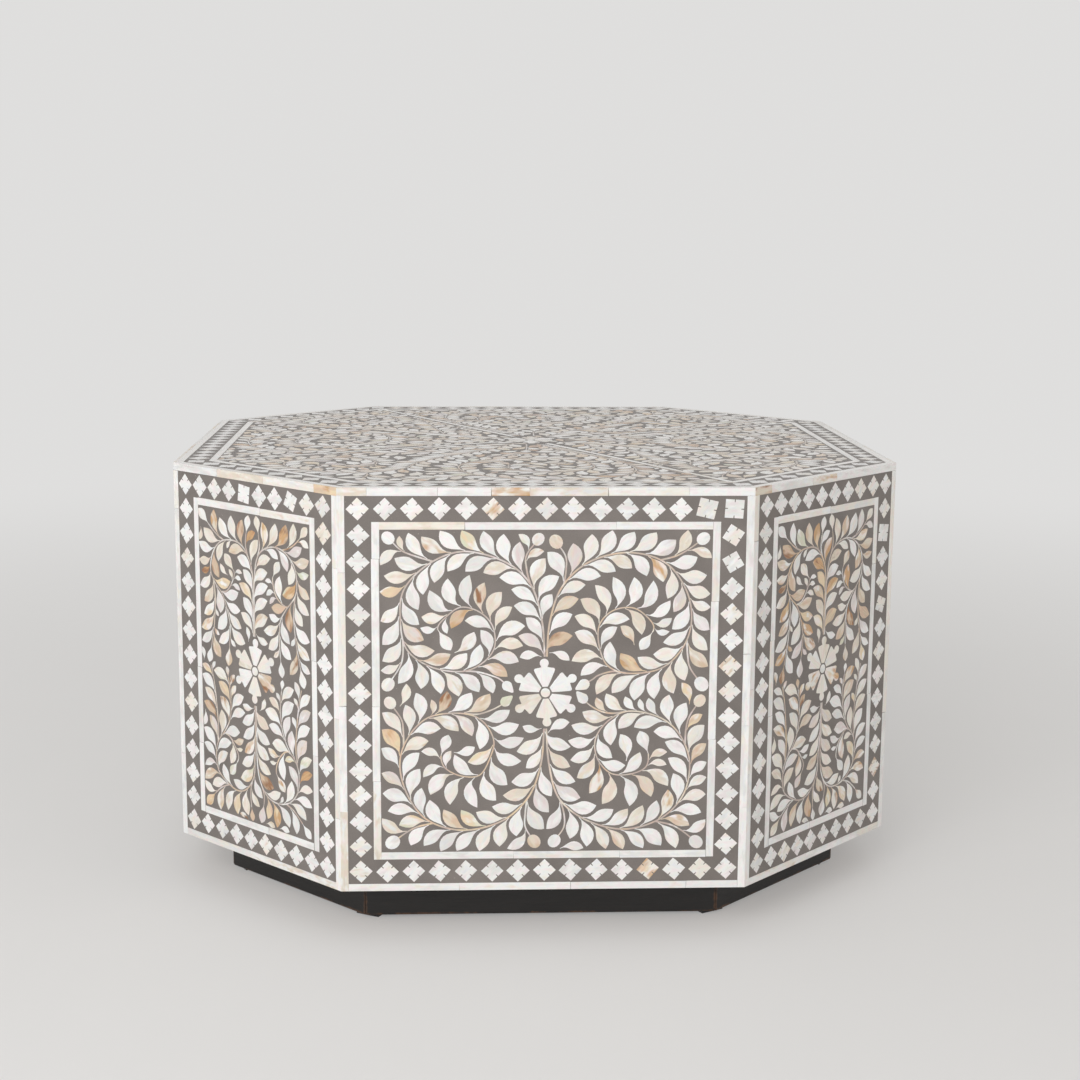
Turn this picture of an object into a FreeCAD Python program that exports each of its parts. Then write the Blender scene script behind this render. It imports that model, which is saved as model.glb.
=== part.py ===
"""Octagonal coffee table faced with mother-of-pearl inlay.

A closed carcass of boards stands on a set-back black plinth. Every outer face of the carcass
carries a thin skin: shell strips round its edges, and between them a poured resin ground in which
a shell frame, a border of shell diamonds and a six-petalled shell rosette lie flush.

Frame: millimetres, +Z up, origin on the floor under the middle of the table, front face towards -Y.
"""
import FreeCAD, Part
import math
import os

# Overall form: a square with its corners cut off at 45 degrees.
WIDTH = 760.0
LONG_FACE = 400.0
HEIGHT = 450.0
PLINTH_HEIGHT = 48.0
PLINTH_INSET = 50.0

# Boards of the carcass and the plinth.
SIDE_BOARD = 18.0
TOP_BOARD = 18.0
BASE_BOARD = 18.0
PLINTH_BOARD = 18.0

# Blocks and cleats that hold the boards together inside.
CORNER_BLOCK_LEG = 36.0
CLEAT_SECTION = 20.0
PLINTH_BLOCK_LEG = 45.0
PAD_SIDE = 26.0
PAD_THICKNESS = 3.0
PAD_INSET = 20.0

# The inlaid skin.
SKIN = 2.5
INLAY_DEPTH = 1.5
EDGE_STRIP = 7.5
TOP_BAND = 8.0
FRAME_STRIP = 7.5
DIAMOND = 22.5
DIAMOND_SPACING = 2.5
BORDER_MARGIN = 1.25
RADIAL_STRIP = 6.0
RADIAL_START = 38.0

# The rosette in the middle of every side face: petals round an open centre.
PETALS = 6
PETAL_START = 7.5
PETAL_SHOULDER = 24.0
PETAL_TIP = 34.0
PETAL_GAP = 5.0

FACES = ("front", "front_right", "right", "back_right", "back", "back_left", "left", "front_left")
TURN = 360.0 / len(FACES)
MITRE = math.tan(math.radians(TURN / 2))
CORNER_FACE = (WIDTH - LONG_FACE) / math.sqrt(2)
CORNER_APOTHEM = (WIDTH + LONG_FACE) / (2 * math.sqrt(2))

BODY_BOTTOM = PLINTH_HEIGHT
TOP_UNDERSIDE = HEIGHT - SKIN - TOP_BOARD
CARCASS_INSET = SKIN + SIDE_BOARD
BORDER = DIAMOND + 2 * BORDER_MARGIN
DIAMOND_PITCH = DIAMOND + DIAMOND_SPACING
FRAME_INSET = EDGE_STRIP + BORDER
FIELD_MIDDLE = (BODY_BOTTOM + FRAME_INSET + HEIGHT - TOP_BAND - BORDER) / 2

UP = FreeCAD.Vector(0, 0, 1)
INTO_FACE = FreeCAD.Vector(0, 1, 0)
ORIGIN = FreeCAD.Vector(0, 0, 0)


def face_width(index):
    """Width of a face: the four long faces alternate with the four corner faces."""
    return CORNER_FACE if index % 2 else LONG_FACE


def apothem(index):
    """Distance from the table's axis to a face."""
    return CORNER_APOTHEM if index % 2 else WIDTH / 2


def turned(shape, index):
    """A shape made for the front, turned about the axis to the face that it belongs to."""
    copy = shape.copy()
    copy.rotate(ORIGIN, UP, TURN * index)
    return copy


def prism(points, direction):
    """A straight solid on a polygon."""
    outline = Part.makePolygon(list(points) + [points[0]])
    return Part.Face(outline).extrude(direction)


def plan_prism(plan, low, high):
    """A vertical solid on a plan given as (x, y) points."""
    return prism([FreeCAD.Vector(x, y, low) for x, y in plan], UP * (high - low))


def octagon(inset):
    """Plan of the table's outline, moved inwards, from the front's left corner anticlockwise."""
    flat = WIDTH / 2 - inset
    half = LONG_FACE / 2 - inset * MITRE
    return [(-half, -flat), (half, -flat), (flat, -half), (flat, half),
            (half, flat), (-half, flat), (-flat, half), (-flat, -half)]


def corner_triangle(inset, leg, corner):
    """Plan of a block that fills one inside corner of the octagon."""
    ring = octagon(inset)
    x, y = ring[corner]
    plan = [(x, y)]
    for neighbour in (corner + 1, corner - 1):
        nx, ny = ring[neighbour % len(ring)]
        reach = leg / math.hypot(nx - x, ny - y)
        plan.append((x + reach * (nx - x), y + reach * (ny - y)))
    return plan


def mitred_board(index, outer, thickness, low, high):
    """An upright board of one face, between two depths behind it, mitred to its neighbours."""
    front = -apothem(index) + outer
    wide = face_width(index) / 2 - outer * MITRE
    narrow = wide - thickness * MITRE
    plan = [(-wide, front), (wide, front), (narrow, front + thickness), (-narrow, front + thickness)]
    return plan_prism(plan, low, high)


def face_prism(index, outline, depth):
    """A piece let into a face: an outline of (x, z) points on the surface, and its depth."""
    surface = -apothem(index)
    return prism([FreeCAD.Vector(x, surface, z) for x, z in outline], INTO_FACE * depth)


def rectangle(left, right, low, high):
    """Corners of an upright rectangle on a face."""
    return [(left, low), (right, low), (right, high), (left, high)]


def lozenge(x, y):
    """Corners of a diamond that stands on its point."""
    reach = DIAMOND / 2
    return [(x - reach, y), (x, y - reach), (x + reach, y), (x, y + reach)]


def petal(turn):
    """Outline of one petal: a fan from its foot to its shoulders, then drawn in to its tip."""
    sector = math.pi / PETALS
    spread = PETAL_SHOULDER * math.tan(sector) - PETAL_GAP / (2 * math.cos(sector))
    profile = [(PETAL_START, 0.0), (PETAL_SHOULDER, -spread), (PETAL_TIP, 0.0), (PETAL_SHOULDER, spread)]
    cosine = math.cos(turn)
    sine = math.sin(turn)
    return [(r * cosine - s * sine, FIELD_MIDDLE + r * sine + s * cosine) for r, s in profile]


def stations(first, last):
    """Evenly spaced places from first to last, about one diamond pitch apart."""
    steps = max(1, round((last - first) / DIAMOND_PITCH))
    return [first + (last - first) * k / steps for k in range(steps + 1)]


def side_panel(index):
    """Carcass board behind one face, under the top board."""
    return mitred_board(index, SKIN, SIDE_BOARD, BODY_BOTTOM, TOP_UNDERSIDE)


def edge_strips(index):
    """Shell strips round a side face: top band over two mitred uprights, bottom strip between them."""
    half = face_width(index) / 2
    surface = -apothem(index)
    band = mitred_board(index, 0.0, SKIN, HEIGHT - TOP_BAND, HEIGHT)
    inner = half - EDGE_STRIP
    mitred = half - SKIN * MITRE
    uprights = []
    for side in (-1, 1):
        plan = [(side * half, surface), (side * inner, surface),
                (side * inner, surface + SKIN), (side * mitred, surface + SKIN)]
        uprights.append(plan_prism(plan, BODY_BOTTOM, HEIGHT - TOP_BAND))
    bottom = face_prism(index, rectangle(-inner, inner, BODY_BOTTOM, BODY_BOTTOM + EDGE_STRIP), SKIN)
    return [band, bottom] + uprights


def frame_strips(index):
    """Shell frame between a side face's border and its field: uprights full height, rails between."""
    half = face_width(index) / 2 - FRAME_INSET
    low = BODY_BOTTOM + FRAME_INSET
    high = HEIGHT - TOP_BAND - BORDER
    inner = half - FRAME_STRIP
    outlines = [rectangle(-half, -inner, low, high), rectangle(inner, half, low, high),
                rectangle(-inner, inner, low, low + FRAME_STRIP),
                rectangle(-inner, inner, high - FRAME_STRIP, high)]
    return [face_prism(index, outline, INLAY_DEPTH) for outline in outlines]


def border_diamonds(index):
    """Shell diamonds along the middle of a side face's border."""
    reach = face_width(index) / 2 - EDGE_STRIP - BORDER / 2
    low = BODY_BOTTOM + EDGE_STRIP + BORDER / 2
    high = HEIGHT - TOP_BAND - BORDER / 2
    centres = [(x, z) for z in (low, high) for x in stations(-reach, reach)]
    centres += [(x, z) for x in (-reach, reach) for z in stations(low, high)[1:-1]]
    return [face_prism(index, lozenge(x, z), INLAY_DEPTH) for x, z in centres]


def rosette(index):
    """Shell petals in the middle of a side face's field."""
    turns = [math.pi / 2 + 2 * math.pi * k / PETALS for k in range(PETALS)]
    return [face_prism(index, petal(turn), INLAY_DEPTH) for turn in turns]


def resin_ground(index, inlaid):
    """Poured resin between a side face's edge strips, with a pocket for each inlaid piece."""
    inner = face_width(index) / 2 - EDGE_STRIP
    plate = face_prism(index, rectangle(-inner, inner, BODY_BOTTOM + EDGE_STRIP, HEIGHT - TOP_BAND), SKIN)
    return plate.cut(Part.makeCompound(inlaid)).removeSplitter()


def ring_strips(inset, width, low):
    """Mitred strips that follow the octagon's outline, up to the top surface."""
    outer = octagon(inset)
    inner = octagon(inset + width)
    strips = []
    for k in range(len(FACES)):
        after = (k + 1) % len(FACES)
        plan = [outer[k], outer[after], inner[after], inner[k]]
        strips.append(plan_prism(plan, low, HEIGHT))
    return strips


def radial_strips():
    """Four strips that quarter the top's field, from every second corner to the middle."""
    floor = HEIGHT - INLAY_DEPTH
    field_plan = octagon(SKIN + FRAME_INSET + FRAME_STRIP)
    field = plan_prism(field_plan, floor, HEIGHT)
    strips = []
    for x, y in field_plan[1::2]:
        reach = math.hypot(x, y)
        bar = Part.makeBox(reach, RADIAL_STRIP, INLAY_DEPTH,
                           FreeCAD.Vector(RADIAL_START, -RADIAL_STRIP / 2, floor))
        bar.rotate(ORIGIN, UP, math.degrees(math.atan2(y, x)))
        strips.append(bar.common(field).Solids[0])
    return strips


def corner_blocks():
    """Upright glue blocks in the carcass's inside corners, between base board and top board."""
    return [plan_prism(corner_triangle(CARCASS_INSET, CORNER_BLOCK_LEG, k),
                       BODY_BOTTOM + BASE_BOARD, TOP_UNDERSIDE) for k in range(len(FACES))]


def top_cleats():
    """Battens under the top board, along the side panels between the corner blocks."""
    cleats = []
    for index in range(len(FACES)):
        front = -apothem(index) + CARCASS_INSET
        half = face_width(index) / 2 - CARCASS_INSET * MITRE - CORNER_BLOCK_LEG
        plan = [(-half, front), (half, front), (half, front + CLEAT_SECTION), (-half, front + CLEAT_SECTION)]
        cleats.append(turned(plan_prism(plan, TOP_UNDERSIDE - CLEAT_SECTION, TOP_UNDERSIDE), index))
    return cleats


def plinth_blocks():
    """Glue blocks in the plinth's inside corners, up to the base board."""
    return [plan_prism(corner_triangle(PLINTH_INSET + PLINTH_BOARD, PLINTH_BLOCK_LEG, k),
                       PAD_THICKNESS, PLINTH_HEIGHT) for k in range(len(FACES))]


def felt_pads():
    """Square pads under the plinth's corners, set square to each corner."""
    pads = []
    for x, y in octagon(PLINTH_INSET + PAD_INSET):
        pad = Part.makeBox(PAD_SIDE, PAD_SIDE, PAD_THICKNESS,
                           FreeCAD.Vector(math.hypot(x, y) - PAD_SIDE / 2, -PAD_SIDE / 2, 0))
        pad.rotate(ORIGIN, UP, math.degrees(math.atan2(y, x)))
        pads.append(pad)
    return pads


def save(node, solids):
    """Writes one node's solids."""
    Part.makeCompound(solids).exportStep(os.path.join("parts", node + ".step"))


def save_side(index):
    """Writes the panel, skin and plinth board of one face."""
    name = FACES[index]
    strips = frame_strips(index)
    diamonds = border_diamonds(index)
    petals = rosette(index)
    ground = resin_ground(index, strips + diamonds + petals)
    plinth = mitred_board(index, PLINTH_INSET, PLINTH_BOARD, PAD_THICKNESS, PLINTH_HEIGHT)
    save(name + "_panel", [turned(side_panel(index), index)])
    save(name + "_resin", [turned(ground, index)])
    save(name + "_strips", [turned(piece, index) for piece in edge_strips(index) + strips])
    save(name + "_diamonds", [turned(piece, index) for piece in diamonds])
    save(name + "_rosette", [turned(piece, index) for piece in petals])
    save(name + "_plinth", [turned(plinth, index)])


def save_top():
    """Writes the top board and its skin."""
    floor = HEIGHT - INLAY_DEPTH
    frame = ring_strips(SKIN + FRAME_INSET, FRAME_STRIP, floor)
    radials = radial_strips()
    plate = plan_prism(octagon(SKIN + EDGE_STRIP), HEIGHT - SKIN, HEIGHT)
    save("top_board", [plan_prism(octagon(SKIN), TOP_UNDERSIDE, HEIGHT - SKIN)])
    save("top_resin", [plate.cut(Part.makeCompound(frame + radials)).removeSplitter()])
    save("top_strips", ring_strips(SKIN, EDGE_STRIP, HEIGHT - SKIN) + frame + radials)


def main():
    os.makedirs("parts", exist_ok=True)
    for index in range(len(FACES)):
        save_side(index)
    save_top()
    save("base_board", [plan_prism(octagon(CARCASS_INSET), BODY_BOTTOM, BODY_BOTTOM + BASE_BOARD)])
    save("corner_blocks", corner_blocks())
    save("top_cleats", top_cleats())
    save("plinth_blocks", plinth_blocks())
    save("felt_pads", felt_pads())


main()
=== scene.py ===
"""Octagonal coffee table faced with mother-of-pearl inlay: the finish of its faces, plinth and boards.

Every face is a grey resin ground between shell edge strips. A shell frame, a border of notched
diamonds, a rosette and a scroll of vines with leaves and buds lie in it, a hair proud of the resin.
A face is drawn flat, across and up from the middle of its field, and then put in its place.
"""
import math
import random
from typing import NamedTuple

import bmesh
import bpy
import numpy as np
from mathutils import Color, Matrix, Vector


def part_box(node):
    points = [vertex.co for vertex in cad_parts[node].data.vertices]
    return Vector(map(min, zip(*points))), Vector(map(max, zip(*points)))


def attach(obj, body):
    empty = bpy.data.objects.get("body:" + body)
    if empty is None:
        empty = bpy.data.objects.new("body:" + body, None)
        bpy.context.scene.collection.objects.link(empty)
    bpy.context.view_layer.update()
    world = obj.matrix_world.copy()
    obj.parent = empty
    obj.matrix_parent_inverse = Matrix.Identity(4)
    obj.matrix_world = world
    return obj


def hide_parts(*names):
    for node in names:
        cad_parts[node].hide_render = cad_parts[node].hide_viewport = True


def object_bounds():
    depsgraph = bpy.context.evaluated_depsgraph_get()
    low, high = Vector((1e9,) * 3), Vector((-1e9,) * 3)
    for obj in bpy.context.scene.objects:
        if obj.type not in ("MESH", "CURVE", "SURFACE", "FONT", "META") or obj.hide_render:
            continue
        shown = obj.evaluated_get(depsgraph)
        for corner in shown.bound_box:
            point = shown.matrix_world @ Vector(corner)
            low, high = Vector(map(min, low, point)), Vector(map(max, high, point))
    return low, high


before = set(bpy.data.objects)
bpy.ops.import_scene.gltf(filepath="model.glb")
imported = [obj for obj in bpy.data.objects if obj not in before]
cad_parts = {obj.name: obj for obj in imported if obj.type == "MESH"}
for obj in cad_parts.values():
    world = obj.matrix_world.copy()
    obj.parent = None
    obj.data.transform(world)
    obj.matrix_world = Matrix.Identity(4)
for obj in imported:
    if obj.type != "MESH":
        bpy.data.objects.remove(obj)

CAD_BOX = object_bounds()

bl_info = {
    "name": "Pearl inlay table",
    "version": (1, 0, 0),
    "blender": (4, 5, 0),
    "location": "3D View > Sidebar > Pearl table",
    "description": "Dresses the octagonal table with shell inlay, resin, stained wood and felt",
    "category": "Object",
}

MM = 0.001
BODY = "root"
FACES = ("front", "front_right", "right", "back_right", "back", "back_left", "left", "front_left")
TURN = 2 * math.pi / len(FACES)
MITRE = math.tan(TURN / 2)

# Sizes of the frame that the inlay fits.
TABLE_LOW, TABLE_HIGH = CAD_BOX
STRIPS_LOW, STRIPS_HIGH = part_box("front_strips")
RESIN_LOW, RESIN_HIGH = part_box("front_resin")
PETALS_LOW, PETALS_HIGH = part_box("front_rosette")
PLINTH_LOW, PLINTH_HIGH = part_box("front_plinth")
WIDTH = TABLE_HIGH.x - TABLE_LOW.x
HEIGHT = TABLE_HIGH.z
LONG_FACE = STRIPS_HIGH.x - STRIPS_LOW.x
CORNER_FACE = (WIDTH - LONG_FACE) / math.sqrt(2)
CORNER_APOTHEM = (WIDTH + LONG_FACE) / (2 * math.sqrt(2))
BODY_BOTTOM = STRIPS_LOW.z
SKIN = STRIPS_HIGH.y - STRIPS_LOW.y
EDGE_STRIP = RESIN_LOW.x - STRIPS_LOW.x
TOP_BAND = HEIGHT - RESIN_HIGH.z
ROSETTE_REACH = (PETALS_HIGH.z - PETALS_LOW.z) / 2
FIELD_MIDDLE = (PETALS_HIGH.z + PETALS_LOW.z) / 2
PLINTH_BOARD = PLINTH_HIGH.y - PLINTH_LOW.y
PLINTH_INSET = PLINTH_LOW.y - TABLE_LOW.y

# Vines of one quarter of a field, in millimetres from the middle of the face, root first.
# A group is a main vine and the shoots that leave it.
LONG_QUARTER = [
    [[(1, 36), (4, 72), (15, 106), (41, 130), (80, 139), (113, 129), (135, 103), (141, 73), (134, 44),
      (112, 25), (82, 20), (61, 28), (51, 46), (52, 66), (65, 81), (82, 84), (97, 76), (103, 63), (97, 50)],
     [(16, 108), (19, 122), (18, 135), (9, 150)],
     [(110, 131), (125, 135), (137, 141), (150, 152)],
     [(138, 52), (138, 37), (141, 24), (152, 8)],
     [(78, 20), (65, 21), (53, 18), (44, 12), (37, 7)]],
]
CORNER_QUARTER = [
    [[(1, 36), (1, 70), (1.5, 91), (5, 112), (15, 126), (30, 132), (49, 128), (63, 115), (67, 98), (63, 84),
      (50, 72), (42, 58), (39, 40), (40, 25), (43, 9)],
     [(64, 86), (62, 67), (65, 42), (68, 24), (72, 7)],
     [(46, 129), (57, 134), (68, 141), (79, 151)],
     [(8, 118), (11, 131), (8, 152)],
     [(52, 74), (43, 77), (34, 86), (31, 99), (38, 110)]],
]
TOP_QUARTER = [
    [[(6, -38), (32, -95), (68, -150), (93, -208), (98, -260), (76, -304), (30, -322), (-25, -318),
      (-66, -290), (-83, -245), (-73, -197), (-38, -168), (6, -163), (44, -183), (58, -222), (44, -258),
      (8, -270), (-26, -252), (-32, -220), (-8, -200), (18, -212), (16, -236)],
     [(98, -260), (118, -290), (148, -316)],
     [(-66, -290), (-110, -314), (-146, -322)],
     [(68, -150), (100, -182), (122, -232), (146, -284)],
     [(-79, -262), (-95, -270), (-112, -284)],
     [(32, -95), (14, -118), (-14, -132), (-44, -136)]],
    [[(-20, -34), (-58, -100), (-98, -150), (-127, -200), (-141, -245), (-175, -274), (-220, -268),
      (-255, -236), (-265, -196), (-241, -166), (-200, -161), (-173, -186), (-172, -221), (-199, -240),
      (-227, -222), (-216, -200)],
     [(-265, -196), (-290, -182), (-313, -178)],
     [(-175, -274), (-175, -298), (-180, -320)],
     [(-58, -100), (-110, -108), (-160, -118), (-210, -130), (-262, -152)],
     [(-34, -60), (-70, -68), (-105, -79), (-140, -91)]],
    [[(-6, -40), (-7, -72), (-10, -102)]],
]


class ScrollPlan(NamedTuple):
    """How the scroll of one kind of face is cut."""
    # Breadths of the leaves, as shares of their length.
    plumps: tuple
    # What the vines of a group end in; the last word holds for all that follow.
    ends: tuple
    # The shortest leaf on a vine, as a share of the longest.
    shortest: float
    # Half widths of the gaps that get a single leaf at the end, in millimetres, widest first.
    gaps: tuple
    seed: int


SCROLL_PLANS = {
    "long": ScrollPlan((0.40, 0.43, 0.46), ("leaf", "bud", "bud", "bud", "drop"), 0.42, (10, 9), 17),
    "corner": ScrollPlan((0.40, 0.43, 0.46), ("leaf",), 0.33, (10, 8.5, 7, 6, 5), 23),
    "top": ScrollPlan((0.40, 0.43, 0.46), ("leaf", "bud"), 0.33, (10, 8.5, 7, 6, 5), 31),
}

# Shell colours and their shares of the pieces that are cut, about a hundred in all, by kind of face where
# the kinds differ.
LEAF_MIX = {
    "long": {"white": 46, "pale": 13, "cream": 16, "beige": 10, "lilac": 6, "flamed": 4, "gold": 2,
             "tan": 1.5, "amber": 0.5, "green": 1},
    # The corner faces' warmer shares are partly the shell's own and partly painted warm light bounced onto a
    # shaded side.
    "corner": {"white": 23, "pale": 12, "cream": 16, "beige": 17, "lilac": 9, "flamed": 11, "gold": 3,
               "tan": 5, "amber": 4, "green": 1},
    # The top's lighter and warmer shares are partly painted light: painted glints and a painted warm
    # reflection on a top seen at a low angle.
    "top": {"bright": 24, "cream": 18, "beige": 28, "lilac": 6, "flamed": 9, "gold": 6, "tan": 6, "amber": 2,
            "green": 1},
}
ROSETTE_MIX = {
    "long": {"white": 60, "cream": 40},
    "corner": {"white": 40, "cream": 38, "flamed": 12, "beige": 10},
    # The top's rosettes are mostly of the white with painted glints.
    "top": {"bright": 60, "cream": 40},
}
SIDE_STRIP_MIX = {"white": 68, "cream": 21, "pale": 7, "flamed": 2, "beige": 2}
# The top's strips are nearly all of the white with painted glints.
STRIP_MIX = {"long": SIDE_STRIP_MIX, "corner": SIDE_STRIP_MIX, "top": {"bright": 90, "cream": 10}}
DIAMOND_MIX = {"white": 81, "pale": 14, "cream": 3, "flamed": 2}
BAND_MIX = {"white": 43, "cream": 28, "beige": 10, "flamed": 8, "tan": 1, "pale": 10}
STEM_MIX = {"stem": 100}

# What a shell of each colour clouds to; a colour named twice comes up twice as often.
BLUSHES = {
    # The top's white with painted glints clouds mostly to itself.
    "bright": ("bright", "bright", "white"),
    "white": ("white", "pale", "pale", "cream"),
    "pale": ("white", "cream"),
    "cream": ("white", "pale", "beige"),
    "beige": ("white", "cream", "tan"),
    "lilac": ("white", "pale", "beige"),
    "flamed": ("gold", "tan", "amber"),
    "gold": ("white", "green", "tan", "amber"),
    "tan": ("white", "cream", "gold", "brown"),
    "amber": ("cream", "gold", "tan", "brown"),
    "brown": ("amber", "tan"),
    "green": ("white", "cream"),
    "stem": ("pale", "beige", "lilac", "tan"),
}

# Start numbers of the random draws; a face adds its own number.
SEEDS = {"strips": 100, "bands": 158, "diamonds": 200, "rosettes": 331, "stems": 400, "leaves": 559}

# Shortest and longest shell piece of each kind of strip.
STRIP_PIECES = {
    "band": (32 * MM, 78 * MM),
    "upright": (70 * MM, 150 * MM),
    "bottom": (60 * MM, 130 * MM),
    "ring": (45 * MM, 120 * MM),
    "radial": (45 * MM, 90 * MM),
}


def length(name, description, default):
    """A size in metres that a user can change."""
    return bpy.props.FloatProperty(name=name, description=description, default=default, min=0.0,
                                   unit="LENGTH", precision=5)


def colour(name, description, default):
    """A colour that a user can change, as it shows on a screen."""
    return bpy.props.FloatVectorProperty(name=name, description=description, default=default, size=3,
                                         min=0.0, max=1.0, subtype="COLOR_GAMMA")


def position(name, description, default):
    """A place in the studio, in metres."""
    return bpy.props.FloatVectorProperty(name=name, description=description, default=default, size=3,
                                         subtype="TRANSLATION", unit="LENGTH")


def amount(name, description, default, unit="NONE"):
    """An angle, a power or a plain number that a user can change."""
    return bpy.props.FloatProperty(name=name, description=description, default=default, unit=unit)


class PearlSizes(bpy.types.PropertyGroup):
    """Sizes of the inlay and of the plinth's finish."""
    border: length("Border", "Width of the resin band that holds the diamonds", 25 * MM)
    frame_strip: length("Frame strip", "Width of the shell frame round the field", 7.5 * MM)
    radial_strip: length("Radial strip", "Width of the strips that quarter the top", 6 * MM)
    inlay_depth: length("Inlay depth", "Depth of the shell pieces in the resin", 0.8 * MM)
    arris: length("Arris", "Width of the rubbed edge of a shell piece", 0.22 * MM)
    recess: length("Recess", "How far the resin lies under the shell", 0.12 * MM)
    joint: length("Joint", "Gap between two shell pieces of one strip", 0.25 * MM)
    diamond: length("Diamond", "A diamond from point to point", 23 * MM)
    notch_depth: length("Notch depth", "Depth of the saw cut in each side of a diamond", 2.6 * MM)
    notch_width: length("Notch width", "Width of the saw cut in each side of a diamond", 1.15 * MM)
    long_leaf: length("Long face leaf", "Length of the longest leaves on the long faces", 32.5 * MM)
    corner_leaf: length("Corner face leaf", "Length of the longest leaves on the corner faces", 29 * MM)
    top_leaf: length("Top leaf", "Length of the longest leaves on the top", 31 * MM)
    leaf_gap: length("Leaf gap", "Least resin between two leaves", 1.8 * MM)
    long_bud: length("Long face bud", "Breadth of a bud on the long faces", 13.5 * MM)
    top_bud: length("Top bud", "Breadth of a bud on the top", 11.5 * MM)
    stem: length("Stem", "Width of a vine's stem", 1.7 * MM)
    plinth_edge: length("Plinth edge", "Radius of the plinth boards' rubbed edges", 1.6 * MM)
    plinth_wear: length("Plinth wear", "Width of the worn margin on the plinth boards", 7 * MM)


class PearlColours(bpy.types.PropertyGroup):
    """Colours of the shell, the resin and the woods."""
    # Painted glints: a whiter shell than the sides have, used only on the top.
    bright: colour("Bright shell", "Brightest mother-of-pearl, for the top", (0.985, 0.976, 0.963))
    white: colour("White shell", "Clear white mother-of-pearl", (0.945, 0.941, 0.936))
    pale: colour("Pale shell", "Greyish white mother-of-pearl", (0.895, 0.89, 0.882))
    cream: colour("Cream shell", "Ivory mother-of-pearl", (0.93, 0.907, 0.868))
    beige: colour("Beige shell", "Warm pale shell", (0.885, 0.838, 0.775))
    lilac: colour("Lilac shell", "Greyish pink shell", (0.875, 0.838, 0.828))
    flamed: colour("Flamed shell", "White shell that runs to the brown rim", (0.94, 0.925, 0.90))
    green: colour("Green shell", "Faint green shell", (0.845, 0.852, 0.765))
    gold: colour("Gold shell", "Light golden shell", (0.905, 0.82, 0.69))
    tan: colour("Tan shell", "Shell from near the rim", (0.84, 0.745, 0.645))
    amber: colour("Amber shell", "Orange brown shell from the rim", (0.80, 0.64, 0.465))
    brown: colour("Brown shell", "Dark rim of the shell", (0.60, 0.435, 0.305))
    stem: colour("Stem shell", "Greyish rose shell of the stems", (0.765, 0.706, 0.668))
    resin: colour("Resin", "Grey resin of the ground", (0.482, 0.455, 0.437))
    stain: colour("Stain", "Black stain of the plinth", (0.10, 0.09, 0.085))
    worn: colour("Worn wood", "Wood that shows where the stain is rubbed off", (0.36, 0.25, 0.17))
    board: colour("Board", "Raw fibre board of the carcass", (0.66, 0.53, 0.40))
    block: colour("Block", "Softwood of blocks and cleats", (0.80, 0.66, 0.47))
    felt: colour("Felt", "Felt of the pads", (0.16, 0.15, 0.15))
    floor: colour("Floor", "Floor of the studio", (0.92, 0.915, 0.91))
    background: colour("Background", "Background of the studio", (0.875, 0.872, 0.868))


class PearlStudio(bpy.types.PropertyGroup):
    """Viewpoint and light of the studio."""
    camera_place: position("Camera place", "Where the camera stands", (-0.0899, -2.0833, 0.7015))
    heading: amount("Heading", "Turn of the camera to the right", 0.0490, "ROTATION")
    pitch: amount("Pitch", "Tilt of the camera downwards", 0.1753, "ROTATION")
    roll: amount("Roll", "Roll of the camera", 0.0072, "ROTATION")
    lens: amount("Lens", "Focal length on a 36 mm square frame", 60.35)
    key_place: position("Key light place", "Where the soft light at the front left hangs",
                        (-1.45, -2.85, 1.6))
    key_power: amount("Key light", "Power of the soft light at the front left", 62.0, "POWER")
    key_shade: colour("Key light shade", "Colour of the light at the front left", (0.995, 0.998, 1.0))
    fill_place: position("Fill light place", "Where the soft light at the right hangs", (2.6, -1.9, 1.4))
    fill_power: amount("Fill light", "Power of the soft light at the right", 8.0, "POWER")
    fill_shade: colour("Fill light shade", "Colour of the light at the right", (1.0, 0.968, 0.935))
    lamp_side: length("Lamp size", "Side of the square soft lights", 2.4)
    sky: amount("Room light", "Strength of the even light from all round", 0.55)
    sky_shade: colour("Room light shade", "Colour of the even light", (1.0, 0.993, 0.982))


def side_levels(inset):
    """Lower and upper limit of a side face, moved inwards, up from the middle of the field."""
    low = BODY_BOTTOM + inset - FIELD_MIDDLE
    high = HEIGHT - TOP_BAND + EDGE_STRIP - inset - FIELD_MIDDLE
    return low, high


def octagon(inset):
    """Corners of the table's outline in plan, moved inwards, from the front's left corner."""
    flat = WIDTH / 2 - inset
    half = LONG_FACE / 2 - inset * MITRE
    return [Vector(corner) for corner in (
        (-half, -flat), (half, -flat), (flat, -half), (flat, half),
        (half, flat), (-half, flat), (-flat, half), (-flat, -half))]


def rectangle(left, right, low, high):
    """Corners of a rectangle on a face."""
    return [Vector((left, low)), Vector((right, low)), Vector((right, high)), Vector((left, high))]


def circle(radius, count):
    """Points round a circle about the middle of a face."""
    angles = [2 * math.pi * k / count for k in range(count)]
    return [Vector((radius * math.cos(angle), radius * math.sin(angle))) for angle in angles]


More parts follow.
